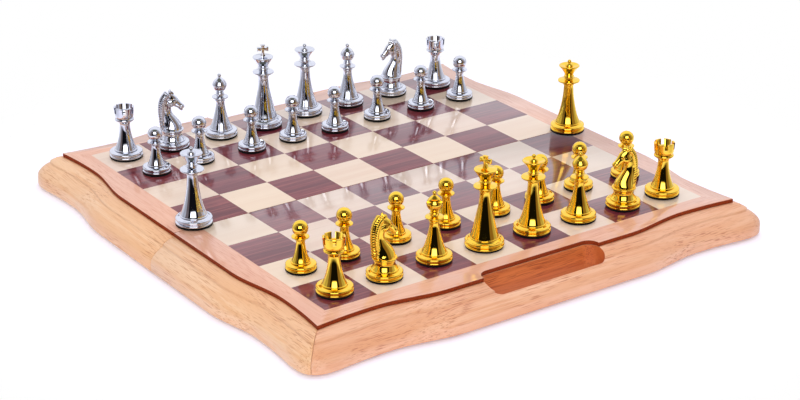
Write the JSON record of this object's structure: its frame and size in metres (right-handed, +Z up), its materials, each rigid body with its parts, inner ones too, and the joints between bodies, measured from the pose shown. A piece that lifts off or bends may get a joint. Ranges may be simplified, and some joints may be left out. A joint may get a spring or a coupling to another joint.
{
  "type": "chess set with board",
  "caption": "Folding wooden chess board with wavy moulded rails, hand slots and storage wells, set with turned gold and silver metal pieces on felt feet.",
  "frame": {"origin": "on the table under the middle of the open board", "axes": "+Z up, +X from the a file to the h file along the fold, +Y from the gold army to the silver one"},
  "size_m": [0.3974, 0.3974, 0.0919],
  "materials": {
    "veneer": "glossy varnished maple and rosewood squares with a beech border",
    "beech": "satin varnished beech with reddish flecks",
    "gold": "mirror polished, gold plated",
    "silver": "mirror polished, chrome plated",
    "brass": "plain brass, slightly dull",
    "flock": "dark red flocked block",
    "felt": "black felt",
    "magnet": "nickel plated magnet"
  },
  "bodies": {
    "front_half": {"foot_pad_front_left": "felt", "foot_pad_front_right": "felt", "hinge_leaf_front_left": "brass", "hinge_leaf_front_right": "brass", "hinge_pin_left": "brass", "hinge_pin_right": "brass", "insert_front": "flock", "magnet_front_left": "magnet", "magnet_front_right": "magnet", "panel_front": "veneer", "rail_front": "beech", "rail_left_front": "beech", "rail_right_front": "beech", "spine_front": "beech"},
    "back_half": {"foot_pad_back_left": "felt", "foot_pad_back_right": "felt", "hinge_leaf_back_left": "brass", "hinge_leaf_back_right": "brass", "insert_back": "flock", "magnet_back_left": "magnet", "magnet_back_right": "magnet", "panel_back": "veneer", "rail_back": "beech", "rail_left_back": "beech", "rail_right_back": "beech", "spine_back": "beech"},
    "gold_bishop_c_piece": {"gold_bishop_c": "gold"},
    "gold_bishop_f_piece": {"gold_bishop_f": "gold"},
    "gold_king_piece": {"gold_king": "gold"},
    "gold_knight_b_piece": {"gold_knight_b": "gold"},
    "gold_knight_g_piece": {"gold_knight_g": "gold"},
    "gold_pawn_a_piece": {"gold_pawn_a": "gold"},
    "gold_pawn_b_piece": {"gold_pawn_b": "gold"},
    "gold_pawn_c_piece": {"gold_pawn_c": "gold"},
    "gold_pawn_d_piece": {"gold_pawn_d": "gold"},
    "gold_pawn_e_piece": {"gold_pawn_e": "gold"},
    "gold_pawn_f_piece": {"gold_pawn_f": "gold"},
    "gold_pawn_g_piece": {"gold_pawn_g": "gold"},
    "gold_pawn_h_piece": {"gold_pawn_h": "gold"},
    "gold_queen_piece": {"gold_queen": "gold"},
    "gold_queen_spare_piece": {"gold_queen_spare": "gold"},
    "gold_rook_a_piece": {"gold_rook_a": "gold"},
    "gold_rook_h_piece": {"gold_rook_h": "gold"},
    "silver_bishop_c_piece": {"silver_bishop_c": "silver"},
    "silver_bishop_f_piece": {"silver_bishop_f": "silver"},
    "silver_king_piece": {"silver_king": "silver"},
    "silver_knight_b_piece": {"silver_knight_b": "silver"},
    "silver_knight_g_piece": {"silver_knight_g": "silver"},
    "silver_pawn_a_piece": {"silver_pawn_a": "silver"},
    "silver_pawn_b_piece": {"silver_pawn_b": "silver"},
    "silver_pawn_c_piece": {"silver_pawn_c": "silver"},
    "silver_pawn_d_piece": {"silver_pawn_d": "silver"},
    "silver_pawn_e_piece": {"silver_pawn_e": "silver"},
    "silver_pawn_f_piece": {"silver_pawn_f": "silver"},
    "silver_pawn_g_piece": {"silver_pawn_g": "silver"},
    "silver_pawn_h_piece": {"silver_pawn_h": "silver"},
    "silver_queen_piece": {"silver_queen": "silver"},
    "silver_queen_spare_piece": {"silver_queen_spare": "silver"},
    "silver_rook_a_piece": {"silver_rook_a": "silver"},
    "silver_rook_h_piece": {"silver_rook_h": "silver"}
  },
  "joints": [
    {"name": "fold", "type": "hinge", "parent": "front_half", "child": "back_half", "pos_m": [0, 0, 0.0015], "axis": [-1, 0, 0], "range_deg": [0, 179.4]},
    {"name": "lift_gold_bishop_c", "type": "slide", "parent": "front_half", "child": "gold_bishop_c_piece", "axis": [0, 0, 1], "range_m": [0, 0.1]},
    {"name": "lift_gold_bishop_f", "type": "slide", "parent": "front_half", "child": "gold_bishop_f_piece", "axis": [0, 0, 1], "range_m": [0, 0.1]},
    {"name": "lift_gold_king", "type": "slide", "parent": "front_half", "child": "gold_king_piece", "axis": [0, 0, 1], "range_m": [0, 0.1]},
    {"name": "lift_gold_knight_b", "type": "slide", "parent": "front_half", "child": "gold_knight_b_piece", "axis": [0, 0, 1], "range_m": [0, 0.1]},
    {"name": "lift_gold_knight_g", "type": "slide", "parent": "front_half", "child": "gold_knight_g_piece", "axis": [0, 0, 1], "range_m": [0, 0.1]},
    {"name": "lift_gold_pawn_a", "type": "slide", "parent": "front_half", "child": "gold_pawn_a_piece", "axis": [0, 0, 1], "range_m": [0, 0.1]},
    {"name": "lift_gold_pawn_b", "type": "slide", "parent": "front_half", "child": "gold_pawn_b_piece", "axis": [0, 0, 1], "range_m": [0, 0.1]},
    {"name": "lift_gold_pawn_c", "type": "slide", "parent": "front_half", "child": "gold_pawn_c_piece", "axis": [0, 0, 1], "range_m": [0, 0.1]},
    {"name": "lift_gold_pawn_d", "type": "slide", "parent": "front_half", "child": "gold_pawn_d_piece", "axis": [0, 0, 1], "range_m": [0, 0.1]},
    {"name": "lift_gold_pawn_e", "type": "slide", "parent": "front_half", "child": "gold_pawn_e_piece", "axis": [0, 0, 1], "range_m": [0, 0.1]},
    {"name": "lift_gold_pawn_f", "type": "slide", "parent": "front_half", "child": "gold_pawn_f_piece", "axis": [0, 0, 1], "range_m": [0, 0.1]},
    {"name": "lift_gold_pawn_g", "type": "slide", "parent": "front_half", "child": "gold_pawn_g_piece", "axis": [0, 0, 1], "range_m": [0, 0.1]},
    {"name": "lift_gold_pawn_h", "type": "slide", "parent": "front_half", "child": "gold_pawn_h_piece", "axis": [0, 0, 1], "range_m": [0, 0.1]},
    {"name": "lift_gold_queen", "type": "slide", "parent": "front_half", "child": "gold_queen_piece", "axis": [0, 0, 1], "range_m": [0, 0.1]},
    {"name": "lift_gold_queen_spare", "type": "slide", "parent": "front_half", "child": "gold_queen_spare_piece", "axis": [0, 0, 1], "range_m": [0, 0.1]},
    {"name": "lift_gold_rook_a", "type": "slide", "parent": "front_half", "child": "gold_rook_a_piece", "axis": [0, 0, 1], "range_m": [0, 0.1]},
    {"name": "lift_gold_rook_h", "type": "slide", "parent": "front_half", "child": "gold_rook_h_piece", "axis": [0, 0, 1], "range_m": [0, 0.1]},
    {"name": "lift_silver_bishop_c", "type": "slide", "parent": "back_half", "child": "silver_bishop_c_piece", "axis": [0, 0, 1], "range_m": [0, 0.1]},
    {"name": "lift_silver_bishop_f", "type": "slide", "parent": "back_half", "child": "silver_bishop_f_piece", "axis": [0, 0, 1], "range_m": [0, 0.1]},
    {"name": "lift_silver_king", "type": "slide", "parent": "back_half", "child": "silver_king_piece", "axis": [0, 0, 1], "range_m": [0, 0.1]},
    {"name": "lift_silver_knight_b", "type": "slide", "parent": "back_half", "child": "silver_knight_b_piece", "axis": [0, 0, 1], "range_m": [0, 0.1]},
    {"name": "lift_silver_knight_g", "type": "slide", "parent": "back_half", "child": "silver_knight_g_piece", "axis": [0, 0, 1], "range_m": [0, 0.1]},
    {"name": "lift_silver_pawn_a", "type": "slide", "parent": "back_half", "child": "silver_pawn_a_piece", "axis": [0, 0, 1], "range_m": [0, 0.1]},
    {"name": "lift_silver_pawn_b", "type": "slide", "parent": "back_half", "child": "silver_pawn_b_piece", "axis": [0, 0, 1], "range_m": [0, 0.1]},
    {"name": "lift_silver_pawn_c", "type": "slide", "parent": "back_half", "child": "silver_pawn_c_piece", "axis": [0, 0, 1], "range_m": [0, 0.1]},
    {"name": "lift_silver_pawn_d", "type": "slide", "parent": "back_half", "child": "silver_pawn_d_piece", "axis": [0, 0, 1], "range_m": [0, 0.1]},
    {"name": "lift_silver_pawn_e", "type": "slide", "parent": "back_half", "child": "silver_pawn_e_piece", "axis": [0, 0, 1], "range_m": [0, 0.1]},
    {"name": "lift_silver_pawn_f", "type": "slide", "parent": "back_half", "child": "silver_pawn_f_piece", "axis": [0, 0, 1], "range_m": [0, 0.1]},
    {"name": "lift_silver_pawn_g", "type": "slide", "parent": "back_half", "child": "silver_pawn_g_piece", "axis": [0, 0, 1], "range_m": [0, 0.1]},
    {"name": "lift_silver_pawn_h", "type": "slide", "parent": "back_half", "child": "silver_pawn_h_piece", "axis": [0, 0, 1], "range_m": [0, 0.1]},
    {"name": "lift_silver_queen", "type": "slide", "parent": "back_half", "child": "silver_queen_piece", "axis": [0, 0, 1], "range_m": [0, 0.1]},
    {"name": "lift_silver_queen_spare", "type": "slide", "parent": "back_half", "child": "silver_queen_spare_piece", "axis": [0, 0, 1], "range_m": [0, 0.1]},
    {"name": "lift_silver_rook_a", "type": "slide", "parent": "back_half", "child": "silver_rook_a_piece", "axis": [0, 0, 1], "range_m": [0, 0.1]},
    {"name": "lift_silver_rook_h", "type": "slide", "parent": "back_half", "child": "silver_rook_h_piece", "axis": [0, 0, 1], "range_m": [0, 0.1]}
  ]
}
